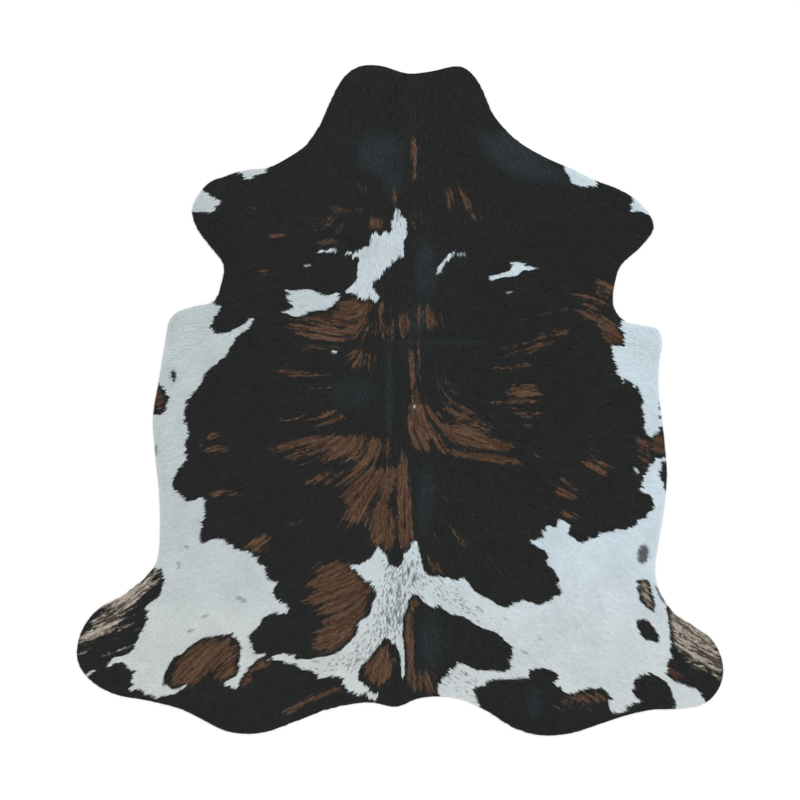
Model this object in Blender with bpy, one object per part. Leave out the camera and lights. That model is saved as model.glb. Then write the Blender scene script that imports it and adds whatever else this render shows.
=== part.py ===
"""Cowhide rug: a whole hide, one flat closed sheet of leather with its lying coat.

The hide lies on its flesh side with the neck towards +Y and the rump towards -Y.
Its cut edge is a smooth closed curve through named landmarks. The flesh side is
flat on z = 0, and the coat side carries the low spine ridge, the fold lines left
by packing and a slight unevenness. Units are metres and +Z is up.
"""
import math

import bmesh
import bpy
from mathutils import Vector
from mathutils.geometry import delaunay_2d_cdt

# Driving dimensions.
LEATHER_THICKNESS = 0.0025
COAT_DEPTH = 0.0035
EDGE_STEP = 0.024          # spacing of the points along the cut edge
FIELD_STEP = 0.062         # spacing of the points inside the coat side
FIELD_MARGIN = 0.020       # how far the inner points stay from the cut edge
RIM_DEPTH = 0.0030         # how far the coat's shoulder steps in from the cut edge
UNEVENNESS = 0.0004        # height of the slow waves over the coat side
COAT_COLOUR = (0.030, 0.024, 0.020, 1.0)
COAT_ROUGHNESS = 0.6

# The cut edge, walked clockwise seen from above, in ten stretches. Each row is
# (across, along): metres to the right of the spine, metres forward of mid length.
NECK = (
    (-0.360, 0.799), (-0.300, 0.843), (-0.2575, 0.907), (-0.2205, 0.991),
    (-0.181, 1.062), (-0.134, 1.094), (-0.066, 1.097), (0.026, 1.071),
    (0.100, 1.0775), (0.200, 1.094), (0.249, 1.056), (0.302, 0.943),
    (0.375, 0.859),
)
RIGHT_SHOULDER = (
    (0.467, 0.801), (0.565, 0.757), (0.640, 0.720), (0.707, 0.696),
    (0.768, 0.6585), (0.817, 0.6075), (0.831, 0.564), (0.790, 0.505),
    (0.723, 0.442), (0.705, 0.391), (0.697, 0.320), (0.709, 0.285),
)
RIGHT_FLANK = (
    (0.734, 0.2585), (0.789, 0.245), (0.841, 0.233), (0.858, 0.1926),
    (0.848, 0.1227), (0.8465, 0.028), (0.8595, -0.0766), (0.869, -0.164),
    (0.874, -0.248), (0.865, -0.354), (0.847, -0.464), (0.835, -0.560),
)
RIGHT_LEG = (
    (0.849, -0.628), (0.897, -0.698), (0.963, -0.7415), (1.024, -0.7896),
    (1.057, -0.864), (1.050, -0.934), (1.0044, -0.990), (0.919, -1.0095),
    (0.8315, -1.013), (0.735, -1.034),
)
RIGHT_RUMP = (
    (0.657, -1.060), (0.5608, -1.0905), (0.460, -1.097), (0.3726, -1.0717),
    (0.2895, -1.019), (0.2107, -0.981), (0.1276, -0.970), (0.055, -0.978),
)
LEFT_RUMP = (
    (-0.010, -1.004), (-0.093, -0.990), (-0.1805, -0.9985), (-0.2725, -1.024),
    (-0.3645, -1.061), (-0.4475, -1.0875), (-0.5075, -1.0925), (-0.573, -1.082),
)
LEFT_LEG = (
    (-0.643, -1.048), (-0.713, -1.013), (-0.818, -0.985), (-0.9405, -0.960),
    (-1.019, -0.912), (-1.0555, -0.851), (-1.0455, -0.768), (-0.993, -0.691),
    (-0.910, -0.643), (-0.831, -0.580),
)
LEFT_FLANK = (
    (-0.7945, -0.530), (-0.784, -0.425), (-0.787, -0.300), (-0.802, -0.150),
    (-0.8065, -0.045), (-0.789, 0.058), (-0.767, 0.185), (-0.752, 0.2625),
    (-0.7225, 0.2905), (-0.6665, 0.308),
)
LEFT_SHOULDER = (
    (-0.607, 0.3220), (-0.585, 0.375), (-0.576, 0.444), (-0.6185, 0.503),
    (-0.662, 0.562), (-0.680, 0.6165), (-0.662, 0.6665), (-0.626, 0.710),
    (-0.563, 0.735), (-0.4925, 0.756), (-0.4375, 0.760),
)
STRETCHES = (NECK, RIGHT_SHOULDER, RIGHT_FLANK, RIGHT_LEG, RIGHT_RUMP,
             LEFT_RUMP, LEFT_LEG, LEFT_FLANK, LEFT_SHOULDER)

# Fold lines across the coat side. Each row is
# (start across, start along, end across, end along, height, half width).
FOLDS = (
    (0.004, -1.000, 0.004, 1.060, 0.0016, 0.030),
    (-0.740, 0.180, 0.030, 0.194, -0.0009, 0.035),
    (0.030, 0.194, 0.850, 0.141, -0.0009, 0.035),
    (0.020, 0.545, 0.820, 0.530, -0.0006, 0.035),
    (0.540, -0.650, 0.800, -0.646, -0.0006, 0.030),
)


def smooth_point(before, start, end, after, share):
    """Point on the centripetal Catmull-Rom curve from start to end."""
    knots = [0.0]
    corners = (before, start, end, after)
    for near, far in zip(corners, corners[1:]):
        knots.append(knots[-1] + math.sqrt((far - near).length))
    place = knots[1] + share * (knots[2] - knots[1])

    def between(low, high, low_point, high_point):
        weight = (place - low) / (high - low)
        return low_point.lerp(high_point, weight)

    first = [between(knots[i], knots[i + 1], corners[i], corners[i + 1]) for i in range(3)]
    second = [between(knots[i], knots[i + 2], first[i], first[i + 1]) for i in range(2)]
    return between(knots[1], knots[2], second[0], second[1])


def cut_edge():
    """The whole cut edge, clockwise, centred on its own box."""
    marks = [Vector(mark) for stretch in STRETCHES for mark in stretch]
    count = len(marks)
    points = []
    for index in range(count):
        corners = [marks[(index + offset) % count] for offset in (-1, 0, 1, 2)]
        steps = max(1, round((corners[2] - corners[1]).length / EDGE_STEP))
        points += [smooth_point(*corners, step / steps) for step in range(steps)]
    across = [point.x for point in points]
    along = [point.y for point in points]
    middle = Vector(((min(across) + max(across)) / 2, (min(along) + max(along)) / 2))
    return [point - middle for point in points]


def stepped_in(edge, depth):
    """The edge moved inwards by depth; the edge runs clockwise."""
    count = len(edge)
    moved = []
    for index, point in enumerate(edge):
        run = (edge[(index + 1) % count] - edge[index - 1]).normalized()
        moved.append(point + Vector((run.y, -run.x)) * depth)
    return moved


def fold_height(point):
    """Height that the fold lines add to the coat side at a point."""
    height = 0.0
    for start_x, start_y, end_x, end_y, rise, half_width in FOLDS:
        start = Vector((start_x, start_y))
        run = Vector((end_x, end_y)) - start
        share = min(1.0, max(0.0, (point - start).dot(run) / run.length_squared))
        gap = (point - start - run * share).length / half_width
        height += rise * math.exp(-gap * gap)
    return height


def coat_height(point):
    """Height of the coat side at a point."""
    waves = math.sin(5.3 * point.x + 1.1) * math.cos(4.1 * point.y - 0.6)
    return LEATHER_THICKNESS + COAT_DEPTH + fold_height(point) + UNEVENNESS * waves


def inside(point, edge):
    """True where a point lies within the closed edge."""
    crossings = 0
    for near, far in zip(edge, edge[1:] + edge[:1]):
        if (near.y > point.y) == (far.y > point.y):
            continue
        share = (point.y - near.y) / (far.y - near.y)
        crossings += near.x + share * (far.x - near.x) > point.x
    return crossings % 2 == 1


def field_points(edge):
    """Staggered rows of points inside the edge, clear of it by the margin."""
    margin = stepped_in(edge, FIELD_MARGIN)
    row_step = FIELD_STEP * math.sqrt(3) / 2
    rows = int(1.1 / row_step)
    columns = int(1.1 / FIELD_STEP)
    points = []
    for row in range(-rows, rows + 1):
        shift = FIELD_STEP / 2 * (row % 2)
        for column in range(-columns, columns + 1):
            point = Vector((column * FIELD_STEP + shift, row * row_step))
            if inside(point, margin):
                points.append(point)
    return points


def filled(edge, extra):
    """Triangles that fill the edge through the extra points."""
    count = len(edge)
    ring = [(index, (index + 1) % count) for index in range(count)]
    result = delaunay_2d_cdt(edge + extra, ring, [], 1, 1e-6)
    return result[0], result[2]


def hide_mesh():
    """The closed sheet: flat flesh side, upright rim, shouldered coat side."""
    edge = cut_edge()
    shoulder = stepped_in(edge, RIM_DEPTH)
    mesh = bmesh.new()
    rim_top = LEATHER_THICKNESS + COAT_DEPTH / 2
    base = [mesh.verts.new((point.x, point.y, 0.0)) for point in edge]
    rim = [mesh.verts.new((point.x, point.y, rim_top)) for point in edge]
    places, triangles = filled(shoulder, field_points(edge))
    coat = [mesh.verts.new((place.x, place.y, coat_height(place))) for place in places]
    for corners in triangles:
        mesh.faces.new([coat[corner] for corner in corners])
    flesh_places, flesh_triangles = filled(edge, [])
    if len(flesh_places) != len(edge) or (places[0] - shoulder[0]).length > 1e-6:
        raise RuntimeError("The filled sides lost the order of the cut edge")
    for corners in flesh_triangles:
        mesh.faces.new([base[corner] for corner in corners])
    count = len(edge)
    for lower, upper in ((base, rim), (rim, coat)):
        for index in range(count):
            after = (index + 1) % count
            mesh.faces.new((lower[index], lower[after], upper[after], upper[index]))
    bmesh.ops.recalc_face_normals(mesh, faces=mesh.faces[:])
    bmesh.ops.triangulate(mesh, faces=mesh.faces[:])
    return mesh


def coat_material():
    """Dark, dull coat colour."""
    material = bpy.data.materials.new("coat")
    material.use_nodes = True
    shader = material.node_tree.nodes["Principled BSDF"]
    shader.inputs["Base Color"].default_value = COAT_COLOUR
    shader.inputs["Roughness"].default_value = COAT_ROUGHNESS
    shader.inputs["Metallic"].default_value = 0.0
    return material


def build_hide():
    """Make the one object of the rug."""
    data = bpy.data.meshes.new("hide")
    mesh = hide_mesh()
    mesh.to_mesh(data)
    mesh.free()
    data.shade_smooth()
    data.set_sharp_from_angle(angle=math.radians(40))
    data.materials.append(coat_material())
    hide = bpy.data.objects.new("hide", data)
    bpy.context.scene.collection.objects.link(hide)


for item in list(bpy.data.objects):
    bpy.data.objects.remove(item, do_unlink=True)
build_hide()
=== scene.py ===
"""Cowhide rug: the looks of a whole hide laid flat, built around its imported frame.

The rug is one piece of leather, modelled as a closed sheet on the frame's own outline,
and its coat, modelled as short tapered locks of hair that lie along the animal's
natural hair flow. Run as a script it builds everything; as panels and operators it
lets a user change the sizes and colours and build again.
"""

import math

import bmesh
import bpy
import numpy as np
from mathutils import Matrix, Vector
from mathutils.geometry import delaunay_2d_cdt


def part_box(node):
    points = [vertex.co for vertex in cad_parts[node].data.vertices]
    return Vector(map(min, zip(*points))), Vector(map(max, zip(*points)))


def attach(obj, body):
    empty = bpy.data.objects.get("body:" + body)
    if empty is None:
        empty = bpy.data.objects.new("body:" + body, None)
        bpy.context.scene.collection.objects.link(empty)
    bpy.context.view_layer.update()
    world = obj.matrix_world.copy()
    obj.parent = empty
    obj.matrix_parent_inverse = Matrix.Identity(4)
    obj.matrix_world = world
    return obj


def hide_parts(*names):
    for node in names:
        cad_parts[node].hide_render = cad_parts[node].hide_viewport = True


bl_info = {
    "name": "Cowhide Rug",
    "version": (1, 0, 0),
    "blender": (4, 5, 0),
    "location": "View3D > Sidebar > Rug",
    "description": "Builds a flat cowhide rug with its leather, patches and lying hair coat",
    "category": "Add Mesh",
}

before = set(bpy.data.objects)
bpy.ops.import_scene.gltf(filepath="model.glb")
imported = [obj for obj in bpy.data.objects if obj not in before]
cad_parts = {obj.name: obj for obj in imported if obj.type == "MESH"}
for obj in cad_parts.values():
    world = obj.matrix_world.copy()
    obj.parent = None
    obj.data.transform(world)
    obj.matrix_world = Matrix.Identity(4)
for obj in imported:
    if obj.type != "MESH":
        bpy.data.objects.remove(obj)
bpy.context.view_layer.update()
HIDE_LOW, HIDE_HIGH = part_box("hide")
HIDE_WIDTH = HIDE_HIGH.x - HIDE_LOW.x
HIDE_LENGTH = HIDE_HIGH.y - HIDE_LOW.y
RANDOM_SEED = 23


# ---------------------------------------------------------------------------
# The coat's chart. Every place is (across, along) in metres: across to the right
# of the spine, along towards the neck, from the middle of the hide.
# ---------------------------------------------------------------------------

# Borders of the white areas, each a closed line; points past the cut edge only close it.
LEFT_FIELD = (
    (-0.605, 0.345), (-0.6105, 0.3185), (-0.593, 0.303), (-0.598, 0.287), (-0.6105, 0.273),
    (-0.6175, 0.2555), (-0.619, 0.24), (-0.6105, 0.226), (-0.5965, 0.218), (-0.5755, 0.219),
    (-0.5545, 0.226), (-0.5335, 0.2345), (-0.516, 0.243), (-0.5055, 0.2555), (-0.4985, 0.266),
    (-0.4845, 0.269), (-0.481, 0.259), (-0.4915, 0.2415), (-0.502, 0.233), (-0.5195, 0.2205),
    (-0.5335, 0.208), (-0.5405, 0.196), (-0.544, 0.1855), (-0.56, 0.1665), (-0.5685, 0.149),
    (-0.579, 0.137), (-0.60, 0.121), (-0.621, 0.102), (-0.6385, 0.086), (-0.649, 0.067),
    (-0.649, 0.053), (-0.6665, 0.035), (-0.684, 0.014), (-0.698, -0.01), (-0.7085, -0.035),
    (-0.71, -0.05), (-0.70, -0.073), (-0.693, -0.091), (-0.696, -0.118), (-0.698, -0.1355),
    (-0.703, -0.1565), (-0.705, -0.174), (-0.698, -0.195), (-0.712, -0.209), (-0.7225, -0.2265),
    (-0.735, -0.2475), (-0.752, -0.27), (-0.7435, -0.288), (-0.726, -0.3075), (-0.7085, -0.3215),
    (-0.691, -0.33), (-0.67, -0.328), (-0.656, -0.3195), (-0.6385, -0.3195), (-0.6315, -0.3265),
    (-0.642, -0.342), (-0.637, -0.36), (-0.6385, -0.377), (-0.6455, -0.395), (-0.649, -0.416),
    (-0.654, -0.433), (-0.6575, -0.4525), (-0.649, -0.47), (-0.6385, -0.4715), (-0.6245, -0.4595),
    (-0.6105, -0.454), (-0.595, -0.4575), (-0.5755, -0.456), (-0.565, -0.468), (-0.5475, -0.477),
    (-0.537, -0.4875), (-0.516, -0.491), (-0.495, -0.4945), (-0.4845, -0.5065),
    (-0.4695, -0.5185), (-0.463, -0.534), (-0.4475, -0.538), (-0.441, -0.562), (-0.43, -0.588),
    (-0.406, -0.5975), (-0.4125, -0.619), (-0.417, -0.637), (-0.408, -0.654), (-0.3905, -0.661),
    (-0.377, -0.672), (-0.3685, -0.687), (-0.373, -0.70), (-0.3905, -0.70), (-0.4035, -0.6955),
    (-0.421, -0.70), (-0.4385, -0.7065), (-0.454, -0.72), (-0.4605, -0.737), (-0.478, -0.7545),
    (-0.491, -0.772), (-0.494, -0.785), (-0.4845, -0.7985), (-0.489, -0.812), (-0.478, -0.8225),
    (-0.465, -0.8315), (-0.443, -0.833), (-0.4325, -0.838), (-0.452, -0.842), (-0.4695, -0.849),
    (-0.478, -0.864), (-0.50, -0.8795), (-0.509, -0.899), (-0.522, -0.9145), (-0.5305, -0.934),
    (-0.5425, -0.952), (-0.5468, -0.938), (-0.564, -0.934), (-0.577, -0.924), (-0.5555, -0.915),
    (-0.538, -0.906), (-0.525, -0.886), (-0.529, -0.8645), (-0.5185, -0.834), (-0.516, -0.8075),
    (-0.525, -0.79), (-0.538, -0.7725), (-0.5555, -0.7645), (-0.5775, -0.769), (-0.60, -0.77),
    (-0.6255, -0.7745), (-0.652, -0.781), (-0.678, -0.7985), (-0.70, -0.816), (-0.7175, -0.8335),
    (-0.739, -0.84), (-0.7545, -0.86), (-0.7655, -0.882), (-0.774, -0.908), (-0.7765, -0.9275),
    (-0.761, -0.936), (-0.7525, -0.945), (-0.735, -0.945), (-0.7175, -0.939), (-0.698, -0.938),
    (-0.7175, -0.949), (-0.7305, -0.958), (-0.748, -0.967), (-0.7655, -0.967), (-0.783, -0.973),
    (-0.80, -0.977), (-0.818, -0.969), (-0.8355, -0.96), (-0.849, -0.952), (-0.866, -0.9495),
    (-0.884, -0.954), (-0.877, -0.93), (-0.875, -0.9125), (-0.8705, -0.895), (-0.879, -0.886),
    (-0.888, -0.877), (-0.899, -0.864), (-0.91, -0.858), (-0.932, -0.862), (-0.949, -0.873),
    (-0.962, -0.878), (-0.951, -0.862), (-0.947, -0.851), (-0.936, -0.8425), (-0.9185, -0.84),
    (-0.901, -0.838), (-0.884, -0.827), (-0.87, -0.814), (-0.866, -0.794), (-0.857, -0.777),
    (-0.844, -0.755), (-0.8335, -0.737), (-0.827, -0.711), (-0.822, -0.691), (-0.833, -0.6805),
    (-0.827, -0.6695), (-0.8135, -0.661), (-0.80, -0.652), (-0.787, -0.643), (-0.783, -0.6235),
    (-0.7785, -0.604), (-0.772, -0.5865), (-0.773, -0.571), (-0.783, -0.5535), (-0.80, -0.545),
    (-0.85, -0.54), (-0.86, 0.33),
)
RUMP_FIELD = (
    (-0.163, -0.543), (-0.142, -0.537), (-0.1236, -0.534), (-0.108, -0.525), (-0.092, -0.5157),
    (-0.0856, -0.5066), (-0.083, -0.496), (-0.0737, -0.488), (-0.063, -0.480), (-0.0646, -0.492),
    (-0.0475, -0.4987), (-0.042, -0.509), (-0.045, -0.5197), (-0.037, -0.5276), (-0.029, -0.5407),
    (-0.021, -0.55), (-0.0055, -0.5486), (0.0037, -0.5407), (0.009, -0.525), (0.010, -0.509),
    (0.014, -0.4987), (0.0207, -0.496), (0.030, -0.4856), (0.039, -0.4685), (0.0496, -0.458),
    (0.0549, -0.467), (0.060, -0.483), (0.064, -0.504), (0.068, -0.5197), (0.072, -0.5354),
    (0.0759, -0.5486), (0.081, -0.5617), (0.0942, -0.5748), (0.102, -0.580), (0.1205, -0.5774),
    (0.1336, -0.580), (0.165, -0.5866), (0.1867, -0.5906), (0.2107, -0.584), (0.2195, -0.595),
    (0.228, -0.610), (0.2457, -0.628), (0.263, -0.641), (0.2895, -0.652), (0.307, -0.663),
    (0.3245, -0.674), (0.3464, -0.679), (0.3726, -0.6715), (0.381, -0.6606), (0.4077, -0.656),
    (0.4295, -0.665), (0.456, -0.674), (0.482, -0.667), (0.4995, -0.654), (0.508, -0.641),
    (0.526, -0.628), (0.519, -0.610), (0.5236, -0.5906), (0.508, -0.566), (0.497, -0.548),
    (0.482, -0.540), (0.4755, -0.529), (0.4875, -0.522), (0.4799, -0.501), (0.4775, -0.496),
    (0.458, -0.484), (0.438, -0.472), (0.4225, -0.466), (0.446, -0.4545), (0.4695, -0.4485),
    (0.466, -0.433), (0.4795, -0.427), (0.4855, -0.413), (0.499, -0.415), (0.513, -0.409),
    (0.519, -0.3935), (0.5286, -0.3915), (0.544, -0.3975), (0.556, -0.409), (0.552, -0.425),
    (0.552, -0.4405), (0.564, -0.448), (0.578, -0.460), (0.5955, -0.466), (0.611, -0.462),
    (0.631, -0.4505), (0.650, -0.441), (0.670, -0.435), (0.690, -0.429), (0.7095, -0.423),
    (0.741, -0.425), (0.7605, -0.415), (0.776, -0.403), (0.788, -0.3875), (0.800, -0.388),
    (0.8177, -0.376), (0.8275, -0.356), (0.831, -0.3385), (0.8275, -0.323), (0.8215, -0.309),
    (0.796, -0.303), (0.780, -0.299), (0.794, -0.283), (0.796, -0.260), (0.800, -0.244),
    (0.812, -0.234), (0.8177, -0.2165), (0.8315, -0.203), (0.847, -0.193), (0.866, -0.192),
    (0.93, -0.18), (0.90, -0.64), (0.869, -0.680), (0.876, -0.702), (0.876, -0.731),
    (0.8847, -0.755), (0.8825, -0.777), (0.887, -0.799), (0.880, -0.816), (0.891, -0.838),
    (0.8715, -0.855), (0.876, -0.868), (0.867, -0.890), (0.8737, -0.901), (0.902, -0.923),
    (0.924, -0.930), (0.9547, -0.943), (0.970, -0.945), (0.981, -0.960), (0.992, -0.978),
    (1.0006, -0.990), (1.01, -1.03), (0.91, -1.03), (0.902, -0.9955), (0.8956, -0.9735),
    (0.889, -0.947), (0.880, -0.930), (0.863, -0.9166), (0.841, -0.9035), (0.817, -0.890),
    (0.8015, -0.9035), (0.786, -0.897), (0.771, -0.912), (0.7665, -0.934), (0.758, -0.9495),
    (0.7665, -0.967), (0.7775, -0.976), (0.793, -0.987), (0.7665, -0.9955), (0.7446, -1.002),
    (0.736, -1.015), (0.714, -1.0285), (0.694, -1.026), (0.6825, -1.0085), (0.6855, -0.987),
    (0.6965, -0.978), (0.683, -0.965), (0.677, -0.954), (0.6615, -0.943), (0.6265, -0.943),
    (0.609, -0.9495), (0.583, -0.956), (0.552, -0.9625), (0.532, -0.952), (0.526, -0.9385),
    (0.506, -0.934), (0.5105, -0.923), (0.5214, -0.901), (0.504, -0.890), (0.482, -0.8795),
    (0.4536, -0.875), (0.438, -0.8795), (0.4186, -0.886), (0.421, -0.910), (0.3814, -0.912),
    (0.351, -0.9145), (0.320, -0.912), (0.298, -0.919), (0.281, -0.930), (0.263, -0.9385),
    (0.2457, -0.941), (0.239, -0.954), (0.259, -1.000), (0.27, -1.03), (0.13, -1.02),
    (0.131, -0.9705), (0.123, -0.958), (0.121, -0.943), (0.132, -0.923), (0.145, -0.912),
    (0.1604, -0.890), (0.1757, -0.879), (0.1867, -0.862), (0.202, -0.860), (0.228, -0.873),
    (0.250, -0.884), (0.2764, -0.890), (0.298, -0.884), (0.3245, -0.891), (0.3464, -0.888),
    (0.3617, -0.877), (0.356, -0.853), (0.364, -0.842), (0.3648, -0.807), (0.355, -0.7985),
    (0.3376, -0.781), (0.3136, -0.760), (0.281, -0.750), (0.2457, -0.733), (0.2107, -0.711),
    (0.1976, -0.7066), (0.169, -0.702), (0.1495, -0.689), (0.131, -0.677), (0.1126, -0.676),
    (0.090, -0.6706), (0.0759, -0.6614), (0.068, -0.651), (0.060, -0.639), (0.0457, -0.639),
    (0.034, -0.6457), (0.026, -0.6614), (0.0247, -0.677), (0.0194, -0.690), (0.0115, -0.6955),
    (0.009, -0.722), (0.0076, -0.761), (0.0075, -0.777), (0.012, -0.7985), (0.014, -0.8205),
    (0.015, -0.842), (0.015, -0.873), (0.014, -0.895), (0.011, -0.91), (0.005, -0.899),
    (0.0045, -0.877), (0.003, -0.8555), (0.001, -0.838), (-0.0055, -0.8205), (-0.0145, -0.803),
    (-0.0255, -0.79), (-0.036, -0.779), (-0.047, -0.777), (-0.058, -0.79), (-0.067, -0.803),
    (-0.08, -0.816), (-0.093, -0.8335), (-0.106, -0.8555), (-0.1235, -0.864), (-0.1325, -0.8815),
    (-0.1345, -0.899), (-0.1345, -0.912), (-0.1235, -0.93), (-0.106, -0.943), (-0.093, -0.956),
    (-0.08, -0.9625), (-0.071, -0.969), (-0.084, -0.989), (-0.093, -0.98), (-0.106, -0.9715),
    (-0.1235, -0.965), (-0.1455, -0.9605), (-0.163, -0.952), (-0.1805, -0.9385),
    (-0.189, -0.9165), (-0.2065, -0.9055), (-0.224, -0.9035), (-0.2415, -0.908),
    (-0.2635, -0.912), (-0.27, -0.899), (-0.2855, -0.888), (-0.2985, -0.8815), (-0.3115, -0.8835),
    (-0.329, -0.877), (-0.3465, -0.864), (-0.373, -0.866), (-0.386, -0.851), (-0.408, -0.851),
    (-0.43, -0.851), (-0.4125, -0.836), (-0.386, -0.8315), (-0.364, -0.8315), (-0.3465, -0.84),
    (-0.329, -0.849), (-0.2985, -0.851), (-0.272, -0.8445), (-0.2415, -0.84), (-0.215, -0.8315),
    (-0.1935, -0.8205), (-0.176, -0.803), (-0.1585, -0.7855), (-0.1455, -0.772), (-0.137, -0.755),
    (-0.141, -0.7415), (-0.13, -0.724), (-0.1105, -0.712), (-0.0974, -0.698), (-0.0934, -0.677),
    (-0.087, -0.659), (-0.0777, -0.6457), (-0.079, -0.630), (-0.084, -0.6115), (-0.0974, -0.5984),
    (-0.113, -0.588), (-0.126, -0.572), (-0.1446, -0.556), (-0.163, -0.5486),
)
RIGHT_FLANK = (
    (0.733, 0.28), (0.729, 0.2556), (0.729, 0.2416), (0.716, 0.238), (0.726, 0.2294),
    (0.7346, 0.2206), (0.7356, 0.2067), (0.7356, 0.1927), (0.737, 0.1752), (0.719, 0.177),
    (0.6997, 0.1805), (0.694, 0.1648), (0.694, 0.1368), (0.703, 0.116), (0.7136, 0.0914),
    (0.724, 0.0704), (0.733, 0.0495), (0.7356, 0.0704), (0.750, 0.0634), (0.764, 0.053),
    (0.773, 0.0355), (0.778, 0.0495), (0.785, 0.0355), (0.7905, 0.018), (0.796, -0.0066),
    (0.7975, -0.0416), (0.803, -0.0765), (0.807, -0.1115), (0.820, -0.120), (0.8307, -0.113),
    (0.841, -0.099), (0.8517, -0.085), (0.859, -0.080), (0.90, -0.07), (0.90, 0.28),
)
BACK_BLAZE = (
    (-0.0136, 0.636), (-0.001, 0.6217), (0.001, 0.6036), (0.0116, 0.5964), (0.0224, 0.5838),
    (0.0206, 0.560), (0.0224, 0.542), (0.015, 0.528), (0.010, 0.517), (0.0116, 0.499),
    (0.0134, 0.474), (-0.005, 0.467), (-0.0137, 0.461), (-0.0275, 0.455), (-0.0275, 0.4397),
    (-0.041, 0.4305), (-0.0535, 0.42), (-0.0627, 0.4075), (-0.0734, 0.4014), (-0.0825, 0.394),
    (-0.0917, 0.3815), (-0.0887, 0.369), (-0.0795, 0.357), (-0.069, 0.3416), (-0.0657, 0.331),
    (-0.0764, 0.325), (-0.0887, 0.328), (-0.101, 0.3355), (-0.110, 0.3264), (-0.1224, 0.3264),
    (-0.1377, 0.3325), (-0.144, 0.3386), (-0.1316, 0.343), (-0.150, 0.351), (-0.168, 0.354),
    (-0.1806, 0.3587), (-0.165, 0.3664), (-0.156, 0.3785), (-0.144, 0.391), (-0.139, 0.40),
    (-0.1408, 0.412), (-0.1377, 0.4275), (-0.139, 0.443), (-0.1347, 0.458), (-0.1316, 0.467),
    (-0.150, 0.472), (-0.1714, 0.4795), (-0.1867, 0.487), (-0.1714, 0.4856), (-0.150, 0.4795),
    (-0.1377, 0.4856), (-0.1316, 0.493), (-0.1163, 0.501), (-0.104, 0.5054), (-0.0994, 0.516),
    (-0.0918, 0.522), (-0.0994, 0.5377), (-0.0887, 0.542), (-0.0795, 0.55), (-0.067, 0.5438),
    (-0.049, 0.55), (-0.0306, 0.5515), (-0.0245, 0.559), (-0.030, 0.5806), (-0.020, 0.587),
    (-0.023, 0.599), (-0.0184, 0.611),
)
LEFT_SPLASH = (
    (-0.3856, 0.363), (-0.364, 0.3585), (-0.3427, 0.3585), (-0.318, 0.3615), (-0.294, 0.3615),
    (-0.2755, 0.3556), (-0.260, 0.346), (-0.248, 0.3416), (-0.2295, 0.343), (-0.211, 0.351),
    (-0.199, 0.348), (-0.2004, 0.3355), (-0.2066, 0.320), (-0.214, 0.3096), (-0.2295, 0.3034),
    (-0.242, 0.297), (-0.260, 0.294), (-0.2877, 0.291), (-0.30, 0.285), (-0.312, 0.276),
    (-0.3335, 0.273), (-0.358, 0.276), (-0.378, 0.287), (-0.355, 0.299), (-0.3427, 0.308),
    (-0.358, 0.317), (-0.367, 0.3355), (-0.364, 0.348),
)
RIGHT_LICK = (
    (0.118, 0.411), (0.127, 0.438), (0.1433, 0.463), (0.165, 0.481), (0.185, 0.490),
    (0.1758, 0.479), (0.1577, 0.463), (0.145, 0.4415), (0.1325, 0.4217),
)
RIGHT_SPLASH = (
    (0.2877, 0.40), (0.2985, 0.407), (0.331, 0.4126), (0.349, 0.42), (0.365, 0.4307),
    (0.3635, 0.4487), (0.385, 0.454), (0.3996, 0.447), (0.4177, 0.438), (0.4357, 0.4325),
    (0.45, 0.429), (0.4177, 0.425), (0.3996, 0.425), (0.392, 0.4144), (0.374, 0.407),
    (0.3455, 0.4035), (0.3166, 0.398), (0.295, 0.393),
)
LEFT_SLIVER = (
    (-0.2617, 0.495), (-0.242, 0.490), (-0.2265, 0.498), (-0.211, 0.492), (-0.2035, 0.487),
    (-0.2265, 0.487), (-0.242, 0.480), (-0.2617, 0.485),
)
LEFT_NECK_EDGE = (
    (-0.437, 0.790), (-0.4375, 0.760), (-0.440, 0.742), (-0.475, 0.739), (-0.486, 0.721),
    (-0.497, 0.721), (-0.520, 0.737), (-0.530, 0.742), (-0.545, 0.770),
)
LEFT_SHOULDER_EDGE = (
    (-0.660, 0.705), (-0.645, 0.690), (-0.632, 0.674), (-0.605, 0.664), (-0.592, 0.655),
    (-0.592, 0.640), (-0.606, 0.632), (-0.611, 0.617), (-0.620, 0.611), (-0.640, 0.616),
    (-0.700, 0.617), (-0.720, 0.680),
)
RIGHT_NECK_EDGE = (
    (0.525, 0.800), (0.535, 0.775), (0.545, 0.745), (0.565, 0.710), (0.578, 0.705),
    (0.625, 0.700), (0.640, 0.703), (0.655, 0.716), (0.660, 0.760),
)
RIGHT_SHOULDER_EDGE = (
    (0.785, 0.680), (0.765, 0.660), (0.757, 0.645), (0.762, 0.630), (0.752, 0.618),
    (0.775, 0.624), (0.790, 0.617), (0.820, 0.605), (0.850, 0.620),
)
WHITE_AREAS = (
    LEFT_FIELD, RUMP_FIELD, RIGHT_FLANK, BACK_BLAZE, LEFT_SPLASH, RIGHT_LICK, RIGHT_SPLASH,
    LEFT_SLIVER, LEFT_NECK_EDGE, LEFT_SHOULDER_EDGE, RIGHT_NECK_EDGE, RIGHT_SHOULDER_EDGE,
)
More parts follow.
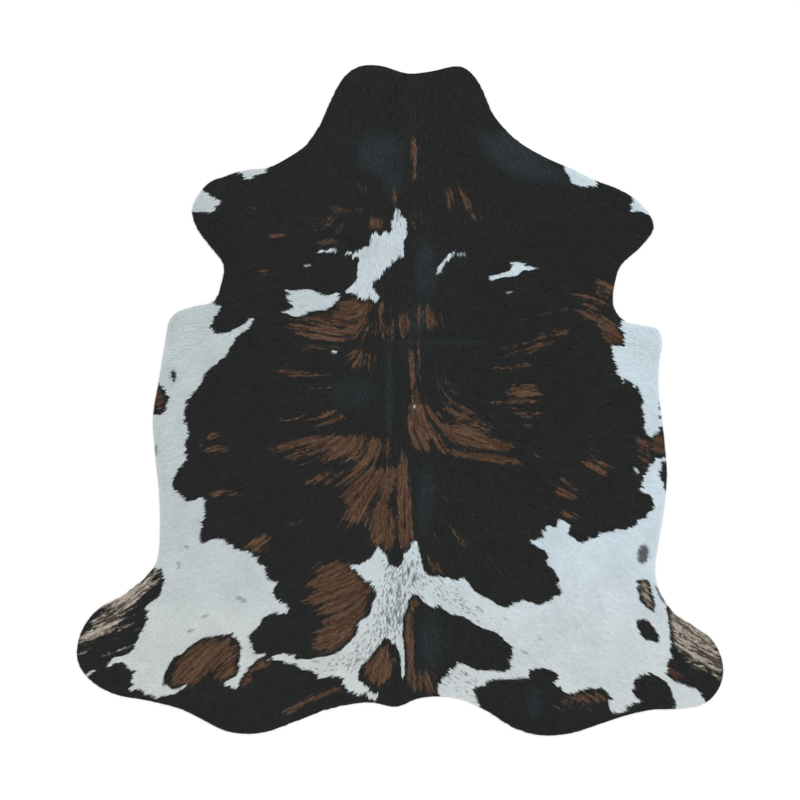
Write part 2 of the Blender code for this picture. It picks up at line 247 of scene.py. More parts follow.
# Dark spots with a border of their own inside the white.
TAN_SPOT = (
    (0.792, -0.586), (0.816, -0.593), (0.823, -0.619), (0.836, -0.6586), (0.839, -0.6805),
    (0.8315, -0.6937), (0.8096, -0.6827), (0.779, -0.6477), (0.781, -0.632), (0.7746, -0.6105),
    (0.779, -0.595),
)
GREY_SPOT = (
    (0.7724, -0.7287), (0.7965, -0.716), (0.814, -0.722), (0.840, -0.755), (0.848, -0.772),
    (0.8446, -0.7965), (0.805, -0.7855), (0.788, -0.770), (0.781, -0.7505),
)
LEFT_EDGE_SPOT = (
    (-0.789, 0.058), (-0.770, 0.045), (-0.762, 0.020), (-0.757, -0.005), (-0.765, -0.030),
    (-0.775, -0.045), (-0.790, -0.052), (-0.806, -0.048), (-0.840, -0.045), (-0.830, 0.055),
)
RIGHT_EDGE_SPOT = (
    (0.859, -0.2015), (0.851, -0.213), (0.849, -0.248), (0.857, -0.264), (0.8647, -0.287),
    (0.8686, -0.305), (0.900, -0.305), (0.900, -0.2015),
)
DARK_AREAS = (TAN_SPOT, GREY_SPOT, LEFT_EDGE_SPOT, RIGHT_EDGE_SPOT)

# Small oval marks: (across, along, half length, half width, heading, whiteness).
# Whiteness is what the mark turns the hair to: 0 is dark hair, 1 is white hair.
MARKS = (
    (-0.741, 0.078, 0.0225, 0.009, 100, 0.0),
    (-0.799, -0.164, 0.022, 0.006, 90, 0.45), (-0.700, -0.480, 0.012, 0.006, 120, 0.6),
    (-0.725, -0.540, 0.014, 0.006, 100, 0.6), (-0.518, -0.654, 0.020, 0.008, 150, 0.6),
    (-0.6385, -0.7065, 0.014, 0.006, 20, 0.6), (-0.6845, -0.7545, 0.014, 0.006, 20, 0.6),
    (-0.300, 0.441, 0.011, 0.004, 0, 0.55), (-0.214, 0.158, 0.010, 0.0045, 150, 1.0),
    (0.200, 0.478, 0.016, 0.006, 10, 0.45), (0.355, 0.352, 0.012, 0.004, 0, 0.35),
    (0.774, -0.232, 0.014, 0.005, 115, 0.6), (0.048, -0.022, 0.007, 0.004, 60, 0.8),
    (0.796, -0.505, 0.034, 0.020, 80, 0.15),
    (0.850, -0.008, 0.008, 0.005, 90, 0.1),
    (0.850, -0.026, 0.007, 0.0045, 90, 0.1),
    (0.8534, -0.054, 0.008, 0.005, 60, 0.1), (0.852, -0.639, 0.036, 0.006, 118, 0.25),
    (-1.016, -0.896, 0.020, 0.005, 35, 0.9),
    (0.457, -0.782, 0.010, 0.005, 150, 0.7), (0.257, -0.680, 0.012, 0.005, 145, 0.6),
    (0.347, -0.717, 0.012, 0.005, 145, 0.7), (0.408, -0.826, 0.014, 0.005, 160, 0.6),
    (0.029, -0.558, 0.016, 0.005, 88, 0.3), (0.047, -0.582, 0.016, 0.006, 84, 0.3),
    (-0.0015, -0.610, 0.014, 0.006, 80, 0.35), (-0.0065, -0.635, 0.010, 0.005, 85, 0.4),
    (-0.034, -0.628, 0.012, 0.006, 80, 0.6), (-0.0365, -0.720, 0.013, 0.006, 110, 0.3),
    (-0.013, -0.692, 0.010, 0.005, 75, 0.4), (-0.022, -0.703, 0.009, 0.004, 75, 0.45),
    (-0.006, -0.722, 0.014, 0.005, 95, 0.5), (-0.059, -0.698, 0.010, 0.006, 70, 0.6),
    (0.040, -0.530, 0.010, 0.004, 90, 0.5), (0.017, -0.640, 0.014, 0.005, 80, 0.55),
    (-0.020, -0.745, 0.016, 0.004, 110, 0.6), (0.014, -0.590, 0.012, 0.004, 85, 0.6),
)

# Brown areas: (across, along, half length, half width, heading, strength). Strength 1
# leaves few black locks at the middle; less breaks the brown into streaks.
BROWNS = (
    # left of the spine, from the shoulder to the rump
    (-0.130, 0.700, 0.060, 0.016, 172, 0.55), (-0.150, 0.625, 0.075, 0.014, 178, 0.50),
    (-0.080, 0.580, 0.040, 0.022, 178, 0.65), (-0.400, 0.545, 0.040, 0.016, 178, 0.45),
    (-0.240, 0.520, 0.060, 0.014, 178, 0.40), (-0.490, 0.620, 0.050, 0.016, 178, 0.35),
    (-0.460, 0.425, 0.045, 0.024, 166, 0.45), (-0.300, 0.580, 0.240, 0.090, 178, 0.22),
    (-0.180, 0.250, 0.190, 0.060, 172, 0.80), (-0.120, 0.310, 0.110, 0.034, 174, 0.70),
    (-0.300, 0.240, 0.110, 0.050, 170, 0.50), (-0.360, 0.120, 0.070, 0.024, 175, 0.42),
    (-0.330, 0.085, 0.130, 0.018, 178, 0.65), (-0.120, 0.135, 0.070, 0.045, 175, 0.70),
    (-0.280, 0.045, 0.110, 0.020, 178, 0.40), (-0.260, 0.180, 0.120, 0.030, 175, 0.45),
    (-0.300, -0.065, 0.150, 0.022, 180, 0.62), (-0.220, -0.050, 0.060, 0.022, 180, 0.55),
    (-0.240, -0.150, 0.210, 0.050, 182, 0.84), (-0.120, -0.170, 0.110, 0.060, 185, 0.82),
    (-0.340, -0.200, 0.110, 0.034, 184, 0.62), (-0.180, -0.250, 0.170, 0.038, 186, 0.74),
    (-0.100, -0.290, 0.120, 0.070, 200, 0.86), (-0.060, -0.400, 0.070, 0.110, 245, 0.90),
    (-0.045, -0.460, 0.040, 0.050, 250, 0.90), (-0.120, -0.350, 0.090, 0.050, 215, 0.62),
    (-0.610, -0.155, 0.075, 0.028, 182, 0.66), (-0.610, -0.120, 0.035, 0.016, 190, 0.50),
    (-0.580, -0.305, 0.070, 0.016, 180, 0.58), (-0.460, -0.475, 0.060, 0.036, 200, 0.66),
    (-0.330, -0.400, 0.070, 0.014, 190, 0.42), (-0.230, -0.430, 0.160, 0.060, 195, 0.24),
    # right of the spine
    (0.045, 0.780, 0.100, 0.014, 270, 0.62), (0.060, 0.600, 0.090, 0.030, 270, 0.40),
    (0.000, 0.665, 0.050, 0.040, 270, 0.50), (0.280, 0.605, 0.060, 0.020, 0, 0.40),
    (0.200, 0.660, 0.120, 0.050, 0, 0.30), (0.095, 0.270, 0.070, 0.048, -20, 0.62),
    (0.015, 0.250, 0.060, 0.034, 270, 0.70), (0.050, 0.120, 0.110, 0.034, 270, 0.66),
    (0.055, -0.040, 0.070, 0.034, 270, 0.72), (0.060, -0.120, 0.080, 0.040, -70, 1.00),
    (0.170, -0.060, 0.130, 0.060, -8, 0.78), (0.210, -0.130, 0.150, 0.050, -12, 0.80),
    (0.270, -0.185, 0.160, 0.022, -10, 0.78), (0.310, -0.145, 0.090, 0.024, -6, 0.66),
    (0.390, 0.025, 0.090, 0.030, 4, 0.84), (0.360, -0.015, 0.140, 0.030, 2, 0.66),
    (0.420, -0.045, 0.070, 0.020, 0, 0.62), (0.350, -0.080, 0.140, 0.030, -2, 0.42),
    (0.400, 0.170, 0.130, 0.026, 12, 0.64), (0.500, 0.215, 0.080, 0.018, 10, 0.56),
    (0.360, 0.105, 0.110, 0.026, 6, 0.50), (0.200, 0.040, 0.140, 0.060, 0, 0.32),
    (0.450, 0.265, 0.150, 0.030, 12, 0.34), (0.560, 0.335, 0.090, 0.024, 2, 0.55),
    (0.640, 0.285, 0.080, 0.040, -34, 0.64), (0.700, 0.220, 0.055, 0.040, -34, 0.98),
    (0.670, 0.350, 0.060, 0.060, -40, 0.50), (0.460, -0.180, 0.040, 0.016, -6, 0.55),
    (0.640, -0.215, 0.075, 0.034, -14, 0.64), (0.620, -0.165, 0.060, 0.018, -16, 0.42),
    (0.540, -0.305, 0.055, 0.026, -6, 0.96), (0.530, -0.265, 0.055, 0.018, -8, 0.50),
    (0.555, -0.375, 0.045, 0.018, -20, 0.62), (0.800, -0.170, 0.085, 0.030, -80, 0.78),
    (0.850, -0.140, 0.050, 0.034, -80, 1.00), (0.220, -0.330, 0.110, 0.060, -26, 0.30),
    (0.150, -0.450, 0.090, 0.060, -45, 0.34), (0.120, -0.540, 0.070, 0.034, -50, 0.50),
    (0.300, -0.560, 0.120, 0.050, -35, 0.24), (0.015, -0.350, 0.160, 0.028, 270, 0.92),
    (0.015, -0.240, 0.090, 0.026, 270, 0.55), (0.025, -0.450, 0.060, 0.026, 270, 0.85),
    # rump, tail root and haunches
    (-0.200, -0.620, 0.120, 0.100, 185, 1.15), (-0.180, -0.740, 0.090, 0.090, 200, 1.15),
    (-0.230, -0.790, 0.070, 0.060, 190, 0.90), (-0.210, -0.555, 0.090, 0.034, 182, 0.85),
    (-0.620, -0.840, 0.120, 0.070, 200, 1.20), (-0.700, -0.900, 0.070, 0.055, 215, 1.00),
    (-0.560, -0.900, 0.050, 0.040, 215, 0.90), (-0.070, -0.870, 0.080, 0.060, 255, 1.20),
    (-0.460, -0.868, 0.065, 0.020, 195, 0.85), (-0.510, -0.920, 0.045, 0.026, 215, 0.60),
    (-0.270, -0.970, 0.110, 0.018, 196, 0.72), (-0.350, -1.010, 0.050, 0.020, 200, 0.60),
    (-0.180, -0.950, 0.050, 0.020, 205, 0.40), (0.032, -0.800, 0.170, 0.020, 270, 0.95),
    (0.040, -0.665, 0.026, 0.022, 270, 1.10), (0.080, -0.930, 0.060, 0.048, -60, 0.80),
    (0.620, -0.970, 0.080, 0.024, -6, 0.90), (0.560, -1.000, 0.120, 0.030, -4, 0.45),
    (-0.788, 0.003, 0.040, 0.016, 95, 0.90), (-0.853, -0.764, 0.040, 0.020, 215, 0.60),
    (0.900, -0.890, 0.040, 0.022, -30, 0.85),
)
# Fawn areas, where pale grey-tan hair is mixed with dark: same columns as above.
FAWNS = (
    (-0.800, -0.580, 0.050, 0.030, 230, 0.70), (-0.860, -0.630, 0.070, 0.030, 215, 0.72),
    (-0.930, -0.685, 0.090, 0.036, 213, 0.80), (-0.985, -0.745, 0.070, 0.040, 225, 0.78),
    (-1.030, -0.800, 0.060, 0.030, 240, 0.62), (-0.900, -0.720, 0.090, 0.040, 210, 0.46),
    (-0.930, -0.800, 0.090, 0.040, 205, 0.26), (-0.905, -0.880, 0.040, 0.020, 200, 0.42),
    (0.905, -0.725, 0.050, 0.036, -35, 1.00), (0.960, -0.770, 0.075, 0.040, -35, 1.10),
    (1.020, -0.830, 0.060, 0.030, -50, 1.00), (0.930, -0.810, 0.060, 0.036, -28, 0.72),
    (0.990, -0.860, 0.075, 0.030, -26, 0.66), (1.045, -0.900, 0.036, 0.020, -60, 0.62),
    (0.805, -0.620, 0.050, 0.026, -65, 1.10), (0.825, -0.670, 0.030, 0.020, -60, 0.95),
    (0.811, -0.756, 0.040, 0.028, -50, 0.22), (0.800, -0.500, 0.022, 0.012, 80, 0.75),
)
# Painted sheen: a cool, slightly grey painted highlight on the black hair: same columns.
PAINTED_SHEENS = (
    (0.380, 0.800, 0.150, 0.070, -30, 1.00), (0.500, 0.740, 0.080, 0.030, -25, 0.60),
    (-0.070, 0.810, 0.080, 0.090, 90, 0.80), (-0.020, 0.720, 0.050, 0.040, 90, 0.60),
    (0.085, 0.430, 0.120, 0.045, 270, 0.70), (0.060, 0.260, 0.060, 0.030, 270, 0.60),
    (0.085, -0.320, 0.130, 0.034, 270, 0.60), (-0.150, 0.020, 0.090, 0.060, 180, 0.40),
    (0.100, -0.790, 0.110, 0.050, 270, 0.55), (0.440, -0.990, 0.060, 0.030, 270, 0.60),
    (0.150, 0.190, 0.180, 0.012, 0, 0.50), (-0.035, 0.020, 0.200, 0.016, 90, 0.60),
)

# Guides to the hair's lie, given for each half: (across, along, heading). Headings are in
# degrees, 0 to the right and 90 towards the neck.
LIE_GUIDES = (
    # along the spine
    (0.00, 1.02, -90), (0.00, 0.85, -90), (0.00, 0.70, -90), (0.00, 0.55, -90),
    (0.00, 0.40, -90), (0.00, 0.25, -90), (0.00, 0.10, -90), (0.00, -0.05, -90),
    (0.00, -0.20, -90), (0.00, -0.35, -90), (0.00, -0.48, -90), (0.00, -0.64, -90),
    (0.00, -0.80, -90), (0.00, -0.95, -90),
    # left half
    (-0.20, 0.85, 230), (-0.40, 0.55, 180), (-0.25, 0.26, 168), (-0.30, 0.08, 180),
    (-0.35, -0.12, 195), (-0.15, -0.25, 215), (-0.08, -0.30, 240), (-0.72, 0.15, 195),
    (-0.75, -0.15, 200), (-0.75, -0.40, 205), (-0.60, -0.60, 212), (-0.70, -0.85, 225),
    (-0.85, -0.60, 218), (-0.95, -0.75, 205), (-0.98, -0.85, 198), (-0.20, -0.60, 200),
    (-0.25, -0.75, 195), (-0.25, -0.98, 203), (-0.03, -0.56, 238), (-0.10, -0.57, 218),
    (-0.15, -0.80, 230), (-0.30, -0.86, 195),
    # right half
    (0.05, 0.10, -85), (0.40, 0.20, 15), (0.35, 0.04, 0), (0.20, -0.08, -20),
    (0.10, -0.13, -60), (0.25, -0.19, -12), (0.15, -0.33, -55), (0.12, -0.43, -60),
    (0.25, -0.33, -35), (0.60, -0.20, -30), (0.45, 0.30, 15), (0.55, 0.33, -5),
    (0.65, 0.28, -28), (0.30, 0.80, -50), (0.10, -0.62, -45), (0.20, -0.66, -35),
    (0.30, -0.72, -32), (0.40, -0.82, -25), (0.20, -0.92, -35), (0.90, -0.75, -40),
    (0.95, -0.80, -32), (1.00, -0.87, -25),
)
GUIDE_REACH = 0.045

# Fold lines and creases in the hide: (start across, start along, end across, end along,
# height, half width). Heights below zero are troughs.
CREASES = (
    (0.004, -1.000, 0.004, 1.060, 0.0016, 0.030),
    (-0.740, 0.180, 0.030, 0.194, -0.0009, 0.035),
    (0.030, 0.194, 0.850, 0.141, -0.0009, 0.035),
    (0.020, 0.545, 0.820, 0.530, -0.0006, 0.035),
    (0.540, -0.650, 0.800, -0.646, -0.0006, 0.030),
    (0.030, 0.198, 0.850, 0.143, -0.0010, 0.006),
    (-0.300, 0.176, 0.000, 0.182, -0.0008, 0.006),
    (0.560, -0.647, 0.800, -0.648, -0.0008, 0.005),
    (-0.880, -0.905, -0.770, -0.902, -0.0008, 0.006),
    (0.290, 0.930, 0.370, 0.925, -0.0010, 0.008),
)

# Grey and dark hairs scattered through the white: same columns as the brown areas.
ROANS = (
    (0.000, -0.600, 0.130, 0.075, 90, 0.36), (-0.030, -0.710, 0.090, 0.060, 80, 0.40),
    (-0.120, -0.820, 0.110, 0.045, 230, 0.26), (0.170, -0.650, 0.130, 0.035, -35, 0.20),
    (-0.010, 0.605, 0.035, 0.018, 90, 0.40), (0.210, -0.930, 0.080, 0.050, -35, 0.14),
    (-0.250, -0.870, 0.110, 0.025, 190, 0.18),
)

# Sizes of the hide that a user wouldn't change.
GRID_HALF = 1.16            # half width of the square that the chart's grids cover
BORDER_STEP = 0.003         # spacing of the border grids
BORDER_REACH = 0.045        # how far from a border its distance is known
LIE_STEP = 0.010            # spacing of the hair lie grid
WAVE_ACROSS = (5.3, 1.1)    # waves per metre and phase, in radians, of the slow unevenness
WAVE_ALONG = (4.1, -0.6)
UNEVENNESS = 0.0004
SHOULDER = 0.006            # how far from the cut edge the coat's bed reaches full height
COAT_LAYERS = 5
LOCK_CORNERS = 5
RAGGED_SLIP = 0.016         # whole range over which a border shifts along the hair
BORDER_SOFT = 0.0015        # half width of the change from dark to white
FINE_REACH = 0.050          # how far fine and broad streaks are drawn out each way
BROAD_REACH = 0.080
STREAK_STEPS = 5
BROAD_SHARE = 0.62          # share of the broad streaks in the brindle
BRINDLE_SOFT = 0.3          # how gradually brown and fawn streaks begin
FAWN_SOFT = 0.4
RIM_START, RIM_END = 0.003, 0.018   # dark rim beside the white
BASE_STEP, BASE_MARGIN = 0.060, 0.030   # point spacing and margin of the flesh side
OVERHANG = 0.002            # a lock that passes the cut edge by more is cut short
GREY_HAIR_STRENGTH = 0.62


# ---------------------------------------------------------------------------
# Fields over the hide
# ---------------------------------------------------------------------------

def smoothstep(value, low, high):
    share = np.clip((value - low) / (high - low), 0.0, 1.0)
    return share * share * (3.0 - 2.0 * share)


class Field:
    """Values on a square grid over the hide, read smoothly between its points."""

    def __init__(self, values):
        self.values = values
        self.step = 2 * GRID_HALF / (len(values) - 1)

    def at(self, across, along):
        last = len(self.values) - 1.001
        column = np.clip((across + GRID_HALF) / self.step, 0, last)
        row = np.clip((along + GRID_HALF) / self.step, 0, last)
        i, j = column.astype(int), row.astype(int)
        s, t = column - i, row - j
        grid = self.values
        low = grid[j, i] * (1 - s) + grid[j, i + 1] * s
        high = grid[j + 1, i] * (1 - s) + grid[j + 1, i + 1] * s
        return low * (1 - t) + high * t


def grid_axis(step):
    return np.linspace(-GRID_HALF, GRID_HALF, int(round(2 * GRID_HALF / step)) + 1)


def noise_field(rng, cell):
    size = len(grid_axis(cell))
    return Field(rng.random((size, size)))


def segment_gap(across, along, start, end):
    """Distance from points to a straight line between start and end."""
    run_x, run_y = end[0] - start[0], end[1] - start[1]
    length = max(run_x * run_x + run_y * run_y, 1e-12)
    share = np.clip(((across - start[0]) * run_x + (along - start[1]) * run_y) / length, 0, 1)
    return np.hypot(across - start[0] - share * run_x, along - start[1] - share * run_y)


def border_distance(corners):
    """Grid of distances to a closed line, above zero inside it."""
    axis = grid_axis(BORDER_STEP)
    size = len(axis)
    gaps = np.full((size, size), BORDER_REACH)
    inside = np.zeros((size, size), bool)
    closed = list(corners) + [corners[0]]
    for start, end in zip(closed, closed[1:]):
        rows = np.nonzero((start[1] > axis) != (end[1] > axis))[0]
        if len(rows):
            share = (axis[rows] - start[1]) / (end[1] - start[1])
            crossing = start[0] + share * (end[0] - start[0])
            inside[rows] ^= axis[None, :] > crossing[:, None]
        spans = []
        for part in (0, 1):
            low = min(start[part], end[part]) - BORDER_REACH
            high = max(start[part], end[part]) + BORDER_REACH
            spans.append(slice(max(0, int((low + GRID_HALF) / BORDER_STEP)),
                               max(0, min(size, int((high + GRID_HALF) / BORDER_STEP) + 2))))
        columns, lines = spans
        if axis[columns].size and axis[lines].size:
            across, along = np.meshgrid(axis[columns], axis[lines])
            block = gaps[lines, columns]
            np.minimum(block, segment_gap(across, along, start, end), out=block)
    return np.where(inside, gaps, -gaps)


def oval_radius(across, along, row):
    """How far points are from an oval's middle, 1 on its edge."""
    turn = math.radians(row[4])
    off_x, off_y = across - row[0], along - row[1]
    length = off_x * math.cos(turn) + off_y * math.sin(turn)
    width = off_y * math.cos(turn) - off_x * math.sin(turn)
    return np.hypot(length / row[2], width / row[3])


def oval_amount(across, along, rows):
    """How strongly a table of ovals colours points; overlapping ovals add up."""
    left_over = np.ones_like(across)
    most = np.zeros_like(across)
    for row in rows:
        share = row[5] * (1 - smoothstep(oval_radius(across, along, row), 0.35, 1.25))
        left_over *= 1 - np.clip(share, 0, 1)
        most = np.maximum(most, share)
    return np.maximum(1 - left_over, most)


class Chart:
    """Everything that varies over the hide: outline, height, hair lie and colours."""

    def __init__(self, outline):
        self.rng = np.random.default_rng(RANDOM_SEED)
        self.edge = Field(border_distance(outline))
        white = border_distance(WHITE_AREAS[0])
        for area in WHITE_AREAS[1:]:
            white = np.maximum(white, border_distance(area))
        for area in DARK_AREAS:
            white = np.minimum(white, -border_distance(area))
        self.white = Field(white)
        self.lie_x, self.lie_y = self.lie_fields()
        self.tufts = noise_field(self.rng, 0.014)
        self.wander = noise_field(self.rng, 0.050)
        self.fine = noise_field(self.rng, 0.0045)
        self.broad = noise_field(self.rng, 0.011)
        self.ragged = noise_field(self.rng, 0.009)

    def lie_fields(self):
        axis = grid_axis(LIE_STEP)
        across, along = np.meshgrid(axis, axis)
        run_x, run_y = np.zeros_like(across), np.zeros_like(across)
        for x, y, heading in LIE_GUIDES:
            squared = (across - x) ** 2 + (along - y) ** 2 + GUIDE_REACH ** 2
            weight = 1 / squared ** 2
            run_x += weight * math.cos(math.radians(heading))
            run_y += weight * math.sin(math.radians(heading))
        length = np.hypot(run_x, run_y)
        return Field(run_x / length), Field(run_y / length)

    def lie(self, across, along):
        """Unit direction of the hair at points."""
        run_x, run_y = self.lie_x.at(across, along), self.lie_y.at(across, along)
        turn = 0.30 * (self.wander.at(across, along) - 0.5)
        turn = turn + 0.50 * (self.tufts.at(across, along) - 0.5)
        cos, sin = np.cos(turn), np.sin(turn)
        run_x, run_y = run_x * cos - run_y * sin, run_x * sin + run_y * cos
        length = np.maximum(np.hypot(run_x, run_y), 1e-6)
        return run_x / length, run_y / length

    def height(self, across, along, bed):
        """Height of the coat's bed above the floor."""
        edge = np.maximum(self.edge.at(across, along), 0)
        folds = np.zeros_like(across)
        for start_x, start_y, end_x, end_y, rise, half_width in CREASES:
            gap = segment_gap(across, along, (start_x, start_y), (end_x, end_y)) / half_width
            folds += rise * np.exp(-gap * gap)
        folds += UNEVENNESS * (np.sin(WAVE_ACROSS[0] * across + WAVE_ACROSS[1])
                               * np.cos(WAVE_ALONG[0] * along + WAVE_ALONG[1]))
        return (bed[0] + (bed[1] - bed[0]) * smoothstep(edge, 0, SHOULDER)
                + folds * smoothstep(edge, 0, 3 * SHOULDER))

    def streaks(self, across, along, noise, reach, steps):
        """Noise drawn out along the hair, spread evenly from 0 to 1."""
        total = noise.at(across, along)
        for sense in (-1, 1):
            x, y = across.copy(), along.copy()
            for _ in range(steps):
                run_x, run_y = self.lie_x.at(x, y), self.lie_y.at(x, y)
                x = x + sense * reach / steps * run_x
                y = y + sense * reach / steps * run_y
                total = total + noise.at(x, y)
        order = np.empty(len(total))
        order[np.argsort(total, kind="stable")] = np.linspace(0, 1, len(total))
        return order

    def colours(self, across, along):
        """Two rows of four values for every point, read by the coat's materials:
        white, brown, fawn and painted sheen; then streak, tint, rim and roan."""
        run_x, run_y = self.lie_x.at(across, along), self.lie_y.at(across, along)
        slip = RAGGED_SLIP * (self.ragged.at(across, along) - 0.5)
        gap = self.white.at(across - slip * run_x, along - slip * run_y)
        white = smoothstep(gap, -BORDER_SOFT, BORDER_SOFT)
        for row in MARKS:
            radius = oval_radius(across, along, row)
            white += (row[5] - white) * (1 - smoothstep(radius, 0.7, 1.15))
        streak = self.streaks(across, along, self.fine, FINE_REACH, STREAK_STEPS)
        broad = self.streaks(across, along, self.broad, BROAD_REACH, STREAK_STEPS)
        mixed = BROAD_SHARE * broad + (1 - BROAD_SHARE) * streak
        # painted sheen: the cool highlight on the black hair is worked out here as a colour amount
        amounts = [oval_amount(across, along, rows) for rows in (BROWNS, FAWNS, PAINTED_SHEENS, ROANS)]
        brown, fawn, painted_sheen, roan = amounts
        brown = smoothstep(mixed, 1.0 - brown, 1.0 + BRINDLE_SOFT - brown)
        fawn = smoothstep(mixed, 1.0 - 1.1 * fawn, 1.0 + FAWN_SOFT - 1.1 * fawn)
        rim = 1 - smoothstep(-gap, RIM_START, RIM_END)
        tint = self.rng.random(len(across))
        first = np.stack([white, brown, fawn, painted_sheen], axis=1)
        second = np.stack([streak, tint, rim, roan], axis=1)
        return first, second


# ---------------------------------------------------------------------------
# Meshes
# ---------------------------------------------------------------------------

def clean_start():
    for item in bpy.context.selected_objects:
        item.select_set(False)


def mesh_object(name, corners, faces):
    """An object from an array of corners and an array of triangles."""
    data = bpy.data.meshes.new(name)
    data.vertices.add(len(corners))
    data.vertices.foreach_set("co", np.asarray(corners, np.float32).ravel())
    data.loops.add(3 * len(faces))
    data.loops.foreach_set("vertex_index", np.asarray(faces, np.int32).ravel())
    data.polygons.add(len(faces))
    data.polygons.foreach_set("loop_start", np.arange(0, 3 * len(faces), 3, dtype=np.int32))
    data.update(calc_edges=True)
    if data.validate():
        raise RuntimeError("%s came out with faulty faces" % name)
    piece = bpy.data.objects.new(name, data)
    bpy.context.scene.collection.objects.link(piece)
    return piece


def add_uv(piece, name, places):
    """A UV map from one place for each face corner."""
    layer = piece.data.uv_layers.new(name=name)
    layer.data.foreach_set("uv", np.asarray(places, np.float32).ravel())


def add_colours(piece, first, second):
    for name, values in (("coat_first", first), ("coat_second", second)):
        layer = piece.data.attributes.new(name, "FLOAT_COLOR", "POINT")
        layer.data.foreach_set("color", np.asarray(values, np.float32).ravel())


def hide_outline():
    """The cut edge, in order, from the frame's own hide."""
    mesh = bmesh.new()
    mesh.from_mesh(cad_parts["hide"].data)
    mesh.transform(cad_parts["hide"].matrix_world)
    bmesh.ops.remove_doubles(mesh, verts=mesh.verts[:], dist=1e-5)
    floor = HIDE_LOW.z + 1e-5
    after = {}
    for face in mesh.faces:
        low = [vert for vert in face.verts if vert.co.z < floor]
        if len(low) == 2 and abs(face.normal.z) < 0.5:
            for vert in low:
                after.setdefault(vert, []).append(low[1] if vert is low[0] else low[0])
    start = min(after, key=lambda vert: (vert.co.y, vert.co.x))
    walk, before, here = [start], None, start
    while True:
        onward = [vert for vert in after[here] if vert is not before]
        before, here = here, onward[0]
        if here is start:
            break
        walk.append(here)
        if len(walk) > len(after):
            raise RuntimeError("The hide's cut edge isn't one closed line")
    points = [(vert.co.x, vert.co.y) for vert in walk]
    mesh.free()
    turn = sum(a[0] * b[1] - b[0] * a[1] for a, b in zip(points, points[1:] + points[:1]))
    return points if turn > 0 else points[::-1]


_chart = {}


def chart():
    """The chart is worked out once for both the sheet and the coat."""
    if "made" not in _chart:
        _chart["outline"] = hide_outline()
        _chart["made"] = Chart(_chart["outline"])
    return _chart["made"]


def staggered(step, jitter, rng):
    """Points over the whole grid in staggered rows, each moved a little at random."""
    rise = step * math.sqrt(3) / 2
    count = int(2 * GRID_HALF / step)
    lines = int(2 * GRID_HALF / rise)
    column, line = np.meshgrid(np.arange(count), np.arange(lines))
    across = -GRID_HALF + step * (column + 0.5 * (line % 2))
    along = -GRID_HALF + rise * line
    across = across + step * jitter * (rng.random(across.shape) - 0.5)
    along = along + step * jitter * (rng.random(along.shape) - 0.5)
    return across.ravel(), along.ravel(), ((column + 2 * line) % COAT_LAYERS).ravel()


def sheet_side(outline, step, margin):
    """Points and triangles that fill the outline; the outline's points come first."""
    field = chart()
    across, along, _ = staggered(step, 0.2, np.random.default_rng(RANDOM_SEED + 1))
    keep = field.edge.at(across, along) > margin
    points = [Vector(p) for p in outline]
    points += [Vector(p) for p in zip(across[keep], along[keep])]
    count = len(outline)
    ring = [(i, (i + 1) % count) for i in range(count)]
    places, _, faces, *_ = delaunay_2d_cdt(points, ring, [], 1, 1e-6)
    if len(places) != len(points):
        raise RuntimeError("The filled side lost points of the cut edge")
    faces = np.array([face for face in faces if len(face) == 3])
    places = np.array([(p.x, p.y) for p in places])
    a, b, c = (places[faces[:, i]] for i in range(3))
    turn = (b[:, 0] - a[:, 0]) * (c[:, 1] - a[:, 1]) - (b[:, 1] - a[:, 1]) * (c[:, 0] - a[:, 0])
    faces[turn < 0] = faces[turn < 0][:, ::-1]
    return places, faces


def build_hide_sheet(settings):
    """The closed sheet of leather under the coat."""
    field = chart()
    outline = _chart["outline"]
    count = len(outline)
    top, top_faces = sheet_side(outline, settings.grid, settings.grid * 0.6)
    base, base_faces = sheet_side(outline, BASE_STEP, BASE_MARGIN)
    bed = (settings.leather, settings.bed)
    heights = field.height(top[:, 0], top[:, 1], bed)
    heights[:count] = settings.leather
    corners = np.vstack([np.column_stack([top, heights]),
                         np.column_stack([base, np.zeros(len(base))])])
    shift = len(top)
    ring = np.arange(count)
    after = (ring + 1) % count
    rim_faces = np.vstack([np.column_stack([ring + shift, after + shift, after]),
                           np.column_stack([ring + shift, after, ring])])
    faces = np.vstack([top_faces, base_faces[:, ::-1] + shift, rim_faces])
    piece = mesh_object("rug_hide", corners, faces)
    first, second = field.colours(corners[:, 0], corners[:, 1])
    add_colours(piece, first, second)
    # unfolded: the coat side large, the flesh side small beside it, the rim in a strip
    span = max(HIDE_WIDTH, HIDE_LENGTH)
    flat = (corners[:, :2] - np.array([HIDE_LOW.x, HIDE_LOW.y])) / span
    top_uv = 0.01 + 0.66 * flat[top_faces.ravel()]
    base_uv = 0.01 + 0.30 * flat[(base_faces[:, ::-1] + shift).ravel()] + np.array([0.68, 0])
    share = 0.01 + 0.98 * ring / count
    onward = 0.01 + 0.98 * (ring + 1) / count
    low, high = np.full(count, 0.74), np.full(count, 0.78)
    near_low, far_low = np.column_stack([share, low]), np.column_stack([onward, low])
    far_high, near_high = np.column_stack([onward, high]), np.column_stack([share, high])
    rim_uv = np.vstack([np.stack([near_low, far_low, far_high], axis=1).reshape(-1, 2),
                        np.stack([near_low, far_high, near_high], axis=1).reshape(-1, 2)])
    add_uv(piece, "OFBake", np.vstack([top_uv, base_uv, rim_uv]))
    piece.data.materials.append(bed_material())
    piece.data.materials.append(suede_material())
    slots = np.zeros(len(faces), np.int32)
    slots[len(top_faces):] = 1
    piece.data.polygons.foreach_set("material_index", slots)
    return piece


